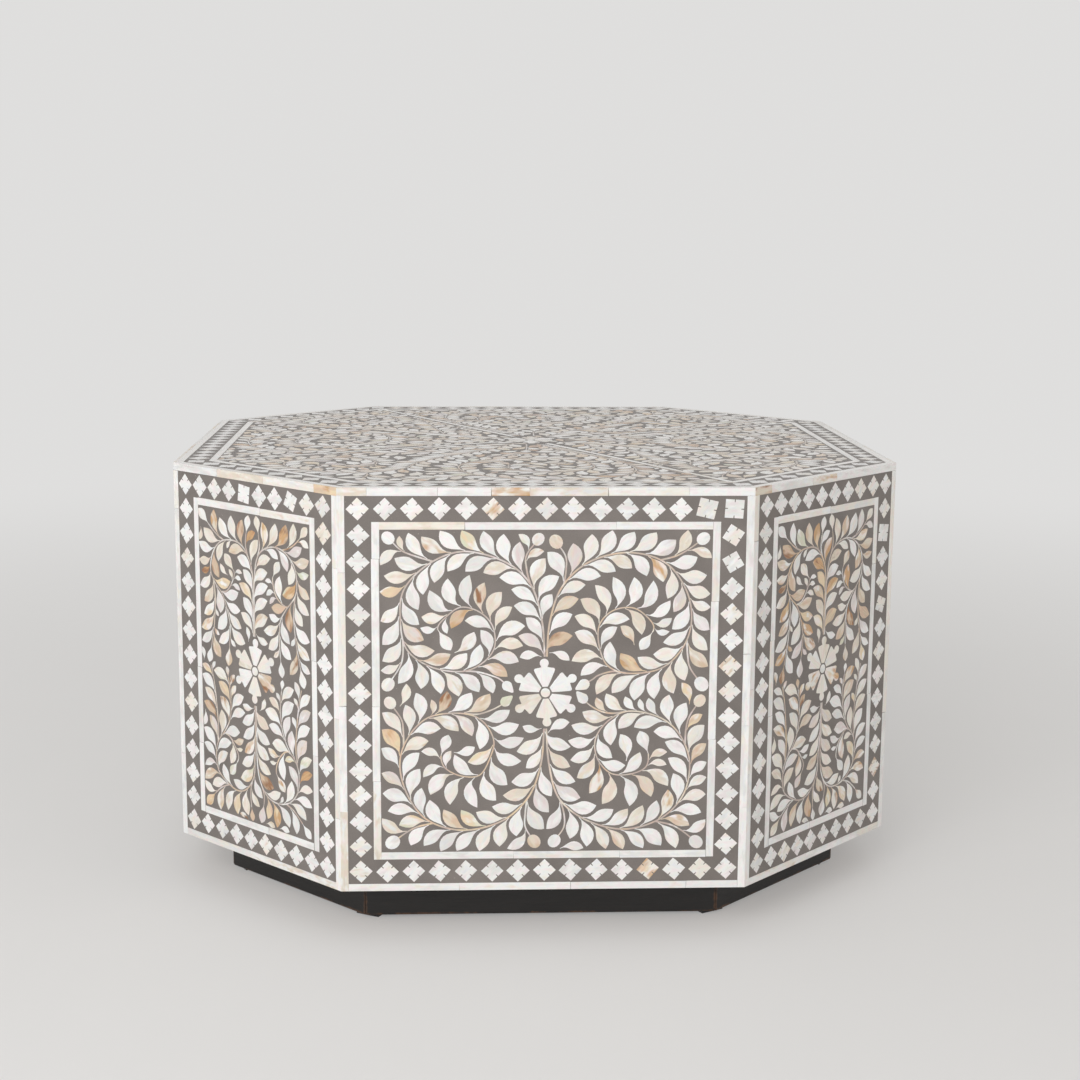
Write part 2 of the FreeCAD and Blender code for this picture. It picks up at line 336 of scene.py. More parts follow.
class Face:
    """One inlaid face and the matrix that puts its flat drawing in place: the eight sides, then the top."""

    def __init__(self, number):
        self.number = number
        self.name = (*FACES, "top")[number]
        if self.name == "top":
            self.kind = "top"
            self.place = Matrix.Translation((0, 0, HEIGHT))
            return
        self.kind = "corner" if number % 2 else "long"
        self.half = (CORNER_FACE if self.kind == "corner" else LONG_FACE) / 2
        self.apothem = CORNER_APOTHEM if self.kind == "corner" else WIDTH / 2
        self.turn = Matrix.Rotation(number * TURN, 4, "Z")
        upright = Matrix(((1, 0, 0, 0), (0, 0, -1, -self.apothem), (0, 1, 0, FIELD_MIDDLE), (0, 0, 0, 1)))
        self.place = self.turn @ upright

    def outline(self, inset):
        """Corners of the face, moved inwards from the edge of its skin."""
        if self.kind == "top":
            return octagon(SKIN + inset)
        low, high = side_levels(inset)
        return rectangle(-self.half + inset, self.half - inset, low, high)


SIDES = [Face(number) for number in range(len(FACES))]
TOP = Face(len(FACES))
ALL_FACES = (*SIDES, TOP)


def linear(shade):
    """A screen colour as light."""
    return Vector(Color(shade).from_srgb_to_scene_linear())


class ShellStock:
    """The shell that one face is cut from: gives each piece its three colours and its grain."""
    # Limits of a piece's brightness, as shares of its colour's, and the highest grain number.
    darkest = 0.96
    lightest = 1.025
    last_grain = 100.0

    def __init__(self, colours, mix, use, face):
        self.colours = colours
        self.names = list(mix)
        self.shares = list(mix.values())
        self.draw = random.Random(SEEDS[use] + face.number)

    def piece(self):
        """The colours of the next piece, from its body to its rim, and its grain number."""
        body = self.draw.choices(self.names, self.shares)[0]
        blush = self.draw.choice(BLUSHES[body])
        rim = self.draw.choice(BLUSHES[blush])
        tone = self.draw.uniform(self.darkest, self.lightest)
        shades = [linear(getattr(self.colours, name)) * tone for name in (body, blush, rim)]
        return shades, self.draw.uniform(0.0, self.last_grain)


def raise_faces(mesh, faces, height):
    """Extrudes faces up, or down by a negative height, into closed blocks and gives their new faces."""
    made = bmesh.ops.extrude_face_region(mesh, geom=faces, use_keep_orig=True)["geom"]
    corners = [part for part in made if isinstance(part, bmesh.types.BMVert)]
    bmesh.ops.translate(mesh, verts=corners, vec=(0, 0, height))
    bmesh.ops.recalc_face_normals(mesh, faces=mesh.faces[:])
    return [part for part in made if isinstance(part, bmesh.types.BMFace)]


def shell_layers(mesh):
    """Vertex layers that the shell finish reads."""
    return [mesh.verts.layers.float_vector.new(key) for key in ("tint", "blush", "rim", "grain")]


def mark(vertex, layers, shades, grain):
    """Writes a piece's colours and grain on one vertex."""
    for layer, value in zip(layers, (*shades, grain)):
        vertex[layer] = value


def finished(name, mesh, place=None):
    """Makes an object of a bmesh, with its place in its mesh."""
    if place is not None:
        mesh.transform(place)
    data = bpy.data.meshes.new(name)
    mesh.to_mesh(data)
    mesh.free()
    piece = bpy.data.objects.new(name, data)
    bpy.context.scene.collection.objects.link(piece)
    return piece


class Inlay:
    """Flat pieces of one face, gathered as outlines and raised together into closed solids."""

    def __init__(self, face, stock):
        self.face = face
        self.stock = stock
        self.pieces = []

    def add(self, outline, along, under=None):
        """Adds a piece: its outline, the direction of its grain, and its underside if that differs."""
        points = [Vector(point) for point in outline]
        self.pieces.append((points, Vector(along).normalized(), under, self.stock.piece()))

    def solid(self, name, depth, arris):
        """Raises the outlines to the face's surface, with a rubbed edge, as one object."""
        mesh = bmesh.new()
        layers = shell_layers(mesh)
        floors = []
        tucked = []
        for outline, along, under, (shades, grain) in self.pieces:
            corners = [mesh.verts.new((point.x, point.y, -depth)) for point in outline]
            for corner, point in zip(corners, outline):
                reach = point - outline[0]
                across = along.x * reach.y - along.y * reach.x
                mark(corner, layers, shades, (along.dot(reach), across, grain))
            floors.append(mesh.faces.new(corners))
            if under:
                tucked += zip(corners, under)
        surfaces = raise_faces(mesh, floors, depth - arris / 2)
        for corner, point in tucked:
            corner.co.xy = point
        bmesh.ops.inset_individual(mesh, faces=surfaces, thickness=arris, depth=arris / 2,
                                   use_even_offset=True)
        return finished(name, mesh, self.face.place)


def side_node(face, ending):
    """The frame's node that a piece of a face stands for; the top's small pieces have none."""
    return [] if face.kind == "top" else [face.name + ending]


def dress(piece, finish, slot, *nodes):
    """Gives a piece its finish and its body, and hides the nodes that it stands for."""
    piece.data.materials.append(finish)
    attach(piece, BODY)
    if nodes:
        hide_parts(*nodes)


class Finish:
    """A node material while it is put together."""

    def __init__(self, name):
        self.material = bpy.data.materials.new(name)
        self.material.use_nodes = True
        self.tree = self.material.node_tree
        self.surface = self.tree.nodes["Principled BSDF"]

    def plug(self, node, socket, value):
        """Links a socket to another one, or sets its value."""
        if isinstance(value, bpy.types.NodeSocket):
            self.tree.links.new(value, node.inputs[socket])
        else:
            node.inputs[socket].default_value = value

    def node(self, kind, settings=None, **sockets):
        """Adds a node; a socket's name is written with underscores for spaces."""
        made = self.tree.nodes.new(kind)
        for key, value in (settings or {}).items():
            setattr(made, key, value)
        for key, value in sockets.items():
            self.plug(made, key.replace("_", " "), value)
        return made

    def attribute(self, name):
        """Vector of a vertex layer."""
        return self.node("ShaderNodeAttribute", {"attribute_name": name}).outputs["Vector"]

    def stretched(self, vector, scale):
        """Coordinates stretched along their axes."""
        return self.node("ShaderNodeMapping", Vector=vector, Scale=scale).outputs["Vector"]

    def noise(self, vector, scale=1.0, detail=2.0, roughness=0.55):
        """Value of a cloudy noise."""
        return self.node("ShaderNodeTexNoise", Vector=vector, Scale=scale, Detail=detail,
                         Roughness=roughness).outputs["Fac"]

    def remap(self, value, low, high, new_low, new_high):
        """A value moved from one range to another, eased at both ends."""
        return self.node("ShaderNodeMapRange", {"interpolation_type": "SMOOTHSTEP"}, Value=value,
                         From_Min=low, From_Max=high, To_Min=new_low, To_Max=new_high).outputs["Result"]

    def times(self, first, second):
        """Product of two values."""
        made = self.node("ShaderNodeMath", {"operation": "MULTIPLY"})
        self.plug(made, 0, first)
        self.plug(made, 1, second)
        return made.outputs["Value"]

    def mix(self, factor, first, second, blend="MIX"):
        """Two colours mixed."""
        made = self.node("ShaderNodeMix", {"data_type": "RGBA", "blend_type": blend})
        # The node has sockets of one name for each type of data, so these go by their numbers.
        for socket, value in ((0, factor), (6, first), (7, second)):
            self.plug(made, socket, value)
        return made.outputs[2]

    def ramp(self, value, *stops):
        """A colour read from a row of (place, colour) stops."""
        made = self.node("ShaderNodeValToRGB", Fac=value)
        for spare in range(len(stops) - 2):
            made.color_ramp.elements.new(0.5)
        for element, (place, shade) in zip(made.color_ramp.elements, stops):
            element.position = place
            element.color = (*shade, 1.0)
        return made.outputs["Color"]

    def bump(self, height, distance, strength=1.0):
        """Puts a fine relief on the surface."""
        made = self.node("ShaderNodeBump", Height=height, Distance=distance, Strength=strength)
        self.plug(self.surface, "Normal", made.outputs["Normal"])

    def set(self, **sockets):
        """Sets or links the surface's own sockets."""
        for key, value in sockets.items():
            self.plug(self.surface, key.replace("_", " "), value)

    def coordinates(self):
        """Coordinates in the table's own frame."""
        return self.node("ShaderNodeTexCoord").outputs["Object"]


def shell_finish():
    """Polished mother-of-pearl: each piece clouds to its other colours, with fine growth lines and a painted
    sheen.
    """
    if "polished_shell" in bpy.data.materials:
        return bpy.data.materials["polished_shell"]
    finish = Finish("polished_shell")
    grain = finish.attribute("grain")
    cloud = finish.noise(finish.stretched(grain, (38.0, 95.0, 1.0)))
    lines = finish.noise(finish.stretched(grain, (30.0, 750.0, 1.0)), detail=4.0, roughness=0.65)
    flecks = finish.noise(finish.stretched(grain, (420.0, 700.0, 1.0)))
    veil = finish.noise(finish.stretched(grain, (55.0, 130.0, 3.0)))
    body = finish.mix(finish.remap(cloud, 0.42, 0.64, 0.0, 1.0),
                      finish.attribute("tint"), finish.attribute("blush"))
    body = finish.mix(finish.remap(veil, 0.52, 0.70, 0.0, 1.0), body, finish.attribute("rim"))
    # Painted sheen: pink, green and blue tints that stand for the shell's iridescent reflections, multiplied
    # into its colour.
    lustre = finish.noise(finish.stretched(grain, (110.0, 200.0, 1.0)), detail=1.0)
    painted_sheen = finish.ramp(lustre, (0.36, (1.0, 0.925, 0.955)), (0.47, (1.0, 0.985, 0.985)),
                        (0.55, (0.96, 1.0, 0.97)), (0.65, (0.935, 0.96, 1.0)))
    pearl = finish.mix(0.8, body, painted_sheen, "MULTIPLY")
    growth = finish.ramp(lines, (0.32, (0.90, 0.888, 0.875)), (0.56, (1.0, 1.0, 1.0)))
    lined = finish.mix(1.0, pearl, growth, "MULTIPLY")
    marked = finish.mix(finish.remap(flecks, 0.70, 0.78, 0.0, 0.35), lined, (0.42, 0.27, 0.15, 1.0))
    finish.set(Base_Color=marked, Roughness=finish.remap(lines, 0.3, 0.7, 0.34, 0.20), IOR=1.53,
               Coat_Weight=0.25, Coat_Roughness=0.10)
    finish.bump(lines, 0.03 * MM, strength=0.6)
    return finish.material


def resin_finish(colours):
    """Rubbed grey resin, faintly clouded, with specks of shell dust."""
    finish = Finish("grey_resin")
    place = finish.coordinates()
    base = linear(colours.resin)
    cloud = finish.noise(place, scale=22.0, detail=4.0)
    sand = finish.noise(place, scale=900.0)
    ground = finish.ramp(cloud, (0.30, base * 0.88), (0.70, base * 1.12))
    grit = finish.ramp(sand, (0.30, (0.82, 0.82, 0.82)), (0.70, (1.0, 1.0, 1.0)))
    sanded = finish.mix(0.6, ground, grit, "MULTIPLY")
    dust = finish.node("ShaderNodeTexVoronoi", Vector=place, Scale=260.0, Randomness=1.0)
    dots = finish.remap(dust.outputs["Distance"], 0.07, 0.12, 1.0, 0.0)
    scarce = finish.remap(finish.noise(place, scale=140.0, detail=1.0), 0.60, 0.68, 0.0, 0.55)
    specked = finish.mix(finish.times(dots, scarce), sanded, (0.62, 0.58, 0.52, 1.0))
    finish.set(Base_Color=specked, Roughness=finish.remap(sand, 0.3, 0.7, 0.50, 0.36), IOR=1.45)
    finish.bump(sand, 0.02 * MM, strength=0.5)
    return finish.material


# How much rougher a wood's pores are than the wood between them.
PORE_ROUGHNESS = 0.12


def grained_wood(name, shade, dark, grain_scale, rough):
    """A wood with rings and pores, as fine along each axis as its grain scale says.

    Dark is the shade of the rings as a share of the wood's own, and rough the roughness of the pores.
    """
    finish = Finish(name)
    place = finish.stretched(finish.coordinates(), grain_scale)
    rings = finish.noise(place, detail=5.0, roughness=0.6)
    pores = finish.noise(place, scale=6.0)
    figure = finish.ramp(rings, (0.30, shade * dark), (0.66, shade))
    pitted = finish.ramp(pores, (0.35, (0.80, 0.78, 0.76)), (0.6, (1.0, 1.0, 1.0)))
    fine = finish.mix(0.5, figure, pitted, "MULTIPLY")
    finish.set(Base_Color=fine, Roughness=finish.remap(pores, 0.3, 0.7, rough, rough - PORE_ROUGHNESS))
    finish.bump(pores, 0.08 * MM, strength=0.5)
    return finish


def plinth_finish(colours):
    """Black stain over wood grain, rubbed through to the wood on edges and corners."""
    finish = grained_wood("black_stained_wood", linear(colours.stain), dark=0.55,
                          grain_scale=(26.0, 26.0, 240.0), rough=0.55)
    wear = finish.node("ShaderNodeAttribute", {"attribute_name": "wear"}).outputs["Fac"]
    patches = finish.noise(finish.coordinates(), scale=48.0, detail=5.0, roughness=0.65)
    bare = finish.remap(finish.times(wear, patches), 0.44, 0.62, 0.0, 0.8)
    stained = finish.surface.inputs["Base Color"].links[0].from_socket
    finish.set(Base_Color=finish.mix(bare, stained, (*linear(colours.worn), 1.0)))
    return finish.material


def felt_finish(colours):
    """Pressed wool felt."""
    finish = Finish("pressed_felt")
    place = finish.coordinates()
    shade = linear(colours.felt)
    fibre = finish.noise(place, scale=900.0, detail=4.0, roughness=0.7)
    finish.set(Base_Color=finish.ramp(fibre, (0.30, shade * 0.6), (0.70, shade * 1.4)), Roughness=0.95,
               Sheen_Weight=0.3)
    finish.bump(fibre, 0.3 * MM)
    return finish.material


def tuck_under(outline, half):
    """Underside of a strip at a face's upright edge, mitred to the next face's strip."""
    limit = half - SKIN * MITRE
    return [Vector((max(-limit, min(limit, point.x)), point.y)) for point in outline]


def segments(draw, run, shortest, longest):
    """Shares of a strip's length at which it is pieced."""
    marks = [0.0]
    while run * (1.0 - marks[-1]) > longest:
        marks.append(marks[-1] + draw.uniform(shortest, longest) / run)
    if run * (1.0 - marks[-1]) < shortest / 2 and len(marks) > 1:
        marks.pop()
    return marks + [1.0]


# How far the saw cuts of a strip are out of square, and how much narrower than it a piece can be.
SAW_SKEW = 0.3 * MM
STRIP_PLAY = 0.25 * MM


def pieced_strip(inlay, corners, sizes, kind, waver=0.0, under_half=None):
    """Adds a strip, given by its four corners with the outer edge first, as a row of butted pieces.

    A piece strays by up to the waver to either side. A strip that meets the next face's strip is given half
    its face's width, and is mitred underneath.
    """
    outer_start, outer_end, inner_end, inner_start = corners
    draw = inlay.stock.draw
    run = (outer_end - outer_start).length
    along = outer_end - outer_start
    inward = (inner_start - outer_start).normalized()
    marks = segments(draw, run, *STRIP_PIECES[kind])
    for start, end in zip(marks, marks[1:]):
        first = start + (sizes.joint / 2 / run if start > 0.0 else 0.0)
        last = end - (sizes.joint / 2 / run if end < 1.0 else 0.0)
        skew = draw.uniform(-SAW_SKEW, SAW_SKEW) / run
        shift = inward * draw.uniform(-waver, waver)
        slip = inward * draw.uniform(0.0, STRIP_PLAY)
        outline = [outer_start.lerp(outer_end, first) + shift, outer_start.lerp(outer_end, last) + shift,
                   inner_start.lerp(inner_end, last + (skew if end < 1.0 else 0.0)) + shift - slip,
                   inner_start.lerp(inner_end, first + (skew if start > 0.0 else 0.0)) + shift - slip]
        inlay.add(outline, along, tuck_under(outline, under_half) if under_half else None)


def stations(first, last, pitch):
    """Evenly spaced places from first to last, about one pitch apart."""
    steps = max(1, round((last - first) / pitch))
    return [first + (last - first) * k / steps for k in range(steps + 1)]


# Width of a saw cut at its end, as a share of its mouth.
NOTCH_END = 0.6


def notched_diamond(middle, reach, turn, sizes):
    """Outline of a square diamond with a saw cut in the middle of each side."""
    corners = [middle + Vector((math.cos(turn + k * math.pi / 2), math.sin(turn + k * math.pi / 2))) * reach
               for k in range(4)]
    outline = []
    for here, after in zip(corners, corners[1:] + corners[:1]):
        side = (after - here).normalized()
        inward = Vector((-side.y, side.x))
        half = here.lerp(after, 0.5)
        mouth = side * sizes.notch_width / 2
        end = inward * sizes.notch_depth
        throat = mouth * NOTCH_END
        outline += [here, half - mouth, half - throat + end, half + throat + end, half + mouth]
    return outline


def smooth_path(points, step):
    """Points at about one step along a Catmull-Rom curve through a short list of points."""
    knots = np.array(points, float)
    knots = np.vstack([2 * knots[0] - knots[1], knots, 2 * knots[-1] - knots[-2]])
    runs = []
    for before, here, after, beyond in zip(knots, knots[1:], knots[2:], knots[3:]):
        count = max(2, math.ceil(np.linalg.norm(after - here) / step))
        share = np.linspace(0.0, 1.0, count, endpoint=False)[:, None]
        runs.append(0.5 * (2 * here + (after - before) * share
                           + (2 * before - 5 * here + 4 * after - beyond) * share ** 2
                           + (3 * here - before - 3 * after + beyond) * share ** 3))
    return np.vstack(runs + [knots[-2:-1]])


def directions(path):
    """Unit direction of a path at each of its points."""
    run = np.gradient(path, axis=0)
    return run / np.linalg.norm(run, axis=1)[:, None]


def beside(run):
    """Directions at a right angle to others, to their left."""
    return np.stack([-run[:, 1], run[:, 0]], 1)


def stem_axes(toward, side=1):
    """Directions along a stem and to one side of it: 1 is its left, -1 its right."""
    return np.stack([toward, side * np.array([-toward[1], toward[0]])])


# Least length that a direction is divided by.
LEAST_LENGTH = 1e-9


def grown(outline, gap):
    """An outline moved outwards by a gap."""
    following = np.roll(outline, -1, 0)
    edges = following - outline
    edges /= np.maximum(np.linalg.norm(edges, axis=1), LEAST_LENGTH)[:, None]
    corners = -beside(edges) - np.roll(beside(edges), 1, 0)
    corners /= np.maximum(np.linalg.norm(corners, axis=1), LEAST_LENGTH)[:, None]
    area = np.sum(outline[:, 0] * following[:, 1] - outline[:, 1] * following[:, 0])
    return outline + math.copysign(gap, area) * corners


class OpenGround:
    """A fine grid over a field that tells where its resin is still free."""
    cell = 0.5 * MM

    def __init__(self, field):
        field = np.array(field, float)
        self.low = field.min(0)
        self.size = np.ceil((field.max(0) - self.low) / self.cell).astype(int) + 1
        self.free = np.zeros((self.size[1], self.size[0]), bool)
        window, inside = self.cells(field)
        self.free[window] = inside

    def cells(self, outline):
        """Window of the grid round an outline, and which of its cells lie inside."""
        first = np.maximum(np.floor((outline.min(0) - self.low) / self.cell).astype(int), 0)
        last = np.minimum(np.ceil((outline.max(0) - self.low) / self.cell).astype(int) + 1, self.size)
        last = np.maximum(last, first)
        across = self.low[0] + self.cell * np.arange(first[0], last[0])[None, :]
        up = self.low[1] + self.cell * np.arange(first[1], last[1])[:, None]
        inside = np.zeros((last[1] - first[1], last[0] - first[0]), bool)
        for (x0, y0), (x1, y1) in zip(outline, np.roll(outline, -1, 0)):
            if y0 != y1:
                crossing = (x1 - x0) * (up - y0) / (y1 - y0) + x0
                inside ^= ((y0 > up) != (y1 > up)) & (across < crossing)
        return (slice(first[1], last[1]), slice(first[0], last[0])), inside

    def take(self, outline):
        """Marks an outline's cells as used."""
        window, inside = self.cells(np.asarray(outline, float))
        self.free[window] &= ~inside

    def clear(self, points):
        """Whether all points lie on free cells."""
        cells = np.rint((points - self.low) / self.cell).astype(int)
        if (cells < 0).any() or (cells >= self.size).any():
            return False
        return bool(self.free[cells[:, 1], cells[:, 0]].all())


# A leaf's half breadth at steps from its tail to its tip, as shares of the widest.
LEAF_WIDEST = 0.64
LEAF_STEPS = np.array([0.0, 0.14, 0.27, 0.39, 0.50, 0.60, 0.70, 0.80, 0.88, 0.95])[:, None]
TAIL_CURVE = 1.15
TIP_CURVE = 2.2
LEAST_BREADTH = 0.05
LEAF_SWELL = 0.5 - 0.5 * np.cos(np.pi * np.minimum(LEAF_STEPS / LEAF_WIDEST, 1.0) ** TAIL_CURVE)
LEAF_POINT = 1.0 - (np.maximum(LEAF_STEPS - LEAF_WIDEST, 0.0) / (1.0 - LEAF_WIDEST)) ** TIP_CURVE
LEAF_SHAPE = np.maximum(LEAF_SWELL * LEAF_POINT, LEAST_BREADTH)
# Steps of a leaf's thin tail, which may cross a stem.
LEAF_TAIL = 3


class LeafCut:
    """A leaf of unit length, drawn along and beside its stem, that bends away from it to a spread."""
    # The leaf leaves its stem at this share of its spread, and bends to all of it about its middle.
    first_turn = 0.36
    middle = 0.5

    def __init__(self, plump, spread):
        spread = math.radians(spread)
        start = self.first_turn * spread
        bend = self.middle * np.array([math.cos(start), math.sin(start)])
        self.tip = np.array([math.cos(spread), math.sin(spread)])
        spine = 2 * LEAF_STEPS * (1 - LEAF_STEPS) * bend + LEAF_STEPS ** 2 * self.tip
        run = (1 - 2 * LEAF_STEPS) * bend + LEAF_STEPS * self.tip
        run /= np.linalg.norm(run, axis=1)[:, None]
        half = plump / 2 * LEAF_SHAPE * beside(run)
        self.outline = np.vstack([spine - half, self.tip[None], (spine + half)[::-1]])
        self.blade = np.vstack([self.outline[LEAF_TAIL:-LEAF_TAIL], spine[LEAF_TAIL:]])
        self.whole = np.vstack([self.outline, (self.outline + np.roll(self.outline, 1, 0)) / 2, spine])


# Spreads of the leaves in degrees, from close to the stem to nearly square to it.
LEAST_SPREAD = 20
SPREAD_STEP = 6
SPREAD_STEPS = 12


def leaf_cuts(plump):
    """Leaves of one breadth in all spreads."""
    return [LeafCut(plump, LEAST_SPREAD + SPREAD_STEP * k) for k in range(SPREAD_STEPS)]


# The straight leaf that ends a vine.
END_PLUMP = 0.5
END_CUT = LeafCut(END_PLUMP, 0)


class Vine:
    """One vine of a scroll: its path, whether it is a shoot of another, and what it ends in."""

    def __init__(self, path, shoot, end):
        self.path = path
        self.shoot = shoot
        self.end = end


class Scroll:
    """Vines of one field and the leaves and buds along them, set one by one where resin is free."""
    # One step along a vine, and the step by which a leaf that doesn't fit is shortened.
    path_step = 1.5 * MM
    leaf_step = 2.3 * MM
    # How far a vine strays from its route, and the resin kept between a stem and a leaf.
    waver = 1.6 * MM
    stem_gap = 0.45 * MM
    # Rounds of setting leaves: longest and shortest as shares of the largest leaf, and the stride.
    # The plan gives the shortest of the last round.
    rounds = ((1.0, 0.79, 1), (0.82, 0.55, 2), (0.58, None, 2))
    # A leaf's angle to its stem in degrees, how much more for each radian that the stem bends away from
    # it in one step, and the most bend that counts.
    spread = 48
    opening = 600
    most_bend = 0.06
    # Steps on either side of a place over which the bend is averaged.
    bend_reach = 6
    # How far a leaf's angle strays, in degrees, and the least share of a round's longest leaf to start from.
    spread_play = 3
    least_start = 0.9
    # Turns tried when a leaf doesn't fit, in spread steps.
    turns = (0, 1, -1, 2, -2, 3, -3, -4)
    # Where a leaf's tail starts, in stem widths from the stem's middle.
    tail_start = 0.55
    # Bare length of stem at a vine's root, and the way from one leaf to the next in leaf lengths.
    bare_stem = 2 * MM
    leaf_pitch = 0.3
    # The leaf that ends a vine: its length as a share of the largest leaf, the limits of its play, its least
    # length, and the share of it that lies over the vine's end.
    end_leaf = 0.7
    end_play = (0.9, 1.1)
    least_end = 8 * MM
    end_overlap = 0.65
    # A bud: the limits of its play, points of its outline, its stretch along and across, and how many steps
    # from the vine's end its direction is taken.
    bud_play = (0.85, 1.1)
    bud_points = 16
    bud_stretch = (1.1, 0.95)
    bud_step = 3
    # A drop is a bud drawn out to a point by this share, at this size.
    drop_point = 0.4
    drop_size = 0.8
    # A single leaf in a gap: its most length in half gaps, its least length, its spread step, where on it the
    # gap's middle lies, and turns tried in degrees.
    single_leaf = 4.2
    least_single = 14 * MM
    single_spread = 4
    single_middle = 0.55
    single_turns = (0, 20, -20, 40, -40, 60, -60, 80, -80)
    # Every so many cells a gap is looked for.
    spot_stride = 4

    def __init__(self, kind, field, groups, kept_free, sizes):
        plan = SCROLL_PLANS[kind]
        self.cuts = [leaf_cuts(plump) for plump in plan.plumps]
        self.ends = plan.ends
        self.gaps = [half * MM for half in plan.gaps]
        self.leaf = getattr(sizes, kind + "_leaf")
        self.bud = sizes.long_bud if kind == "long" else sizes.top_bud
        self.sizes = sizes
        self.draw = random.Random(plan.seed)
        self.leaf_ground = OpenGround(field)
        self.stem_ground = OpenGround(field)
        self.vines = []
        self.leaves = []
        for outline in kept_free:
            self.leaf_ground.take(outline)
        for group in groups:
            self.lay_group(group)
        for vine in self.vines:
            self.set_end(vine)
        self.vines.sort(key=lambda vine: vine.shoot)
        for longest, shortest, stride in self.rounds:
            for vine in self.vines:
                self.grow(vine.path, longest * self.leaf, (shortest or plan.shortest) * self.leaf, stride)
        self.fill_gaps()

    def lay_group(self, group):
        """Draws a main vine and its shoots a little off their routes, as a hand does."""
        main = None
        for number, route in enumerate(group):
            points = [np.array(point) * MM for point in route]
            # The first two points keep the vine's root in place.
            for point in points[2:]:
                point += [self.draw.uniform(-self.waver, self.waver) for axis in range(2)]
            if main is not None:
                points[0] = main[np.argmin(np.linalg.norm(main - points[0], axis=1))]
            path = smooth_path(points, self.path_step)
            end = self.ends[min(number, len(self.ends) - 1)]
            self.vines.append(Vine(path, main is not None, end))
            main = path if main is None else main
            half = (self.sizes.stem / 2 + self.stem_gap) * beside(directions(path))
            for k in range(len(path) - 1):
                self.stem_ground.take([path[k] - half[k], path[k + 1] - half[k + 1],
                                       path[k + 1] + half[k + 1], path[k] + half[k]])

    def set_end(self, vine):
        """Sets a leaf, a round bud or a pointed drop on the end of a vine."""
        if vine.end == "leaf":
            reach = self.end_leaf * self.leaf * self.draw.uniform(*self.end_play)
            while reach > self.least_end and not self.end_in_leaf(vine, reach):
                reach -= self.leaf_step
            return
        toward = directions(vine.path)[-self.bud_step]
        reach = self.bud / 2 * self.draw.uniform(*self.bud_play)
        outline = np.array(circle(reach, self.bud_points)) * self.bud_stretch
        if vine.end == "drop":
            front = np.maximum(outline[:, 0] / reach, 0.0)
            outline[:, 0] += self.drop_point * reach * front ** 2
            outline[:, 1] *= 1.0 - self.drop_point * front
            outline *= self.drop_size
        self.add_leaf(vine.path[-1] + outline @ stem_axes(toward), toward)

    def end_in_leaf(self, vine, reach):
        """Ends a vine in a leaf of that length, if there is room, and cuts its stem at the leaf's tail."""
        path = vine.path
        tail = len(path) - round(self.end_overlap * reach / self.path_step)
        toward = path[-1] - path[tail]
        toward /= np.linalg.norm(toward)
        outline = path[tail] + END_CUT.outline @ (reach * stem_axes(toward))
        if self.leaf_ground.clear(outline):
            vine.path = path[:tail + 1]
            self.add_leaf(outline, toward)
            return True
        return False

    def grow(self, path, longest, shortest, stride):
        """Walks along a vine and sets a leaf on either side wherever one fits."""
        run = directions(path)
        heading = np.unwrap(np.arctan2(run[:, 1], run[:, 0]))
        window = 2 * self.bend_reach + 1
        turning = np.pad(np.gradient(heading), self.bend_reach, "edge")
        bend = np.convolve(turning, np.ones(window) / window, "valid")
        walked = np.concatenate([[0.0], np.cumsum(np.linalg.norm(np.diff(path, axis=0), axis=1))])
        wait = {1: self.bare_stem, -1: self.bare_stem}
        for k in range(stride, len(path) - 2, stride):
            for side in wait:
                if walked[k] >= wait[side]:
                    reach = self.set_leaf(path[k], run[k], side, longest, shortest, -side * bend[k])
                    wait[side] = walked[k] + self.leaf_pitch * reach

    def set_leaf(self, place, toward, side, longest, shortest, outward):
        """Sets the largest leaf that fits on one side of a stem and tells its length, zero for none."""
        stem = stem_axes(toward, side)
        base = place + self.tail_start * self.sizes.stem * stem[1]
        cuts = self.draw.choice(self.cuts)
        opened = self.opening * max(0.0, min(outward, self.most_bend))
        spread = self.spread + opened + self.draw.uniform(-self.spread_play, self.spread_play)
        first = round((spread - LEAST_SPREAD) / SPREAD_STEP)
        reach = longest * self.draw.uniform(self.least_start, 1.0)
        while reach >= shortest:
            for turn in self.turns:
                cut = cuts[min(max(first + turn, 0), len(cuts) - 1)]
                if self.fits(cut, base, reach * stem):
                    self.add_leaf(base + cut.outline @ (reach * stem), cut.tip @ stem)
                    return reach
            reach -= self.leaf_step
        return 0.0

    def fill_gaps(self):
        """Sets single leaves in the gaps that the vines leave, each with its tail to the nearest stem."""
        stems = np.vstack([vine.path for vine in self.vines])
        for half in self.gaps:
            spots = self.open_spots(half)
            self.draw.shuffle(spots)
            for spot in spots:
                away = spot - stems[np.argmin(np.linalg.norm(stems - spot, axis=1))]
                if self.leaf_ground.clear(spot[None]):
                    self.set_single(spot, math.atan2(away[1], away[0]), half)

    def open_spots(self, half):
        """Places that are at least this far from every stem, every leaf and the field's edge."""
        ground = self.leaf_ground
        spots = ground.free & self.stem_ground.free
        for step in range(round(half / ground.cell)):
            wider = spots.copy()
            wider[1:] &= spots[:-1]
            wider[:-1] &= spots[1:]
            wider[:, 1:] &= spots[:, :-1]
            wider[:, :-1] &= spots[:, 1:]
            spots = wider
        stride = self.spot_stride
        rows, columns = np.nonzero(spots[::stride, ::stride])
        return [ground.low + stride * ground.cell * np.array(spot) for spot in zip(columns, rows)]

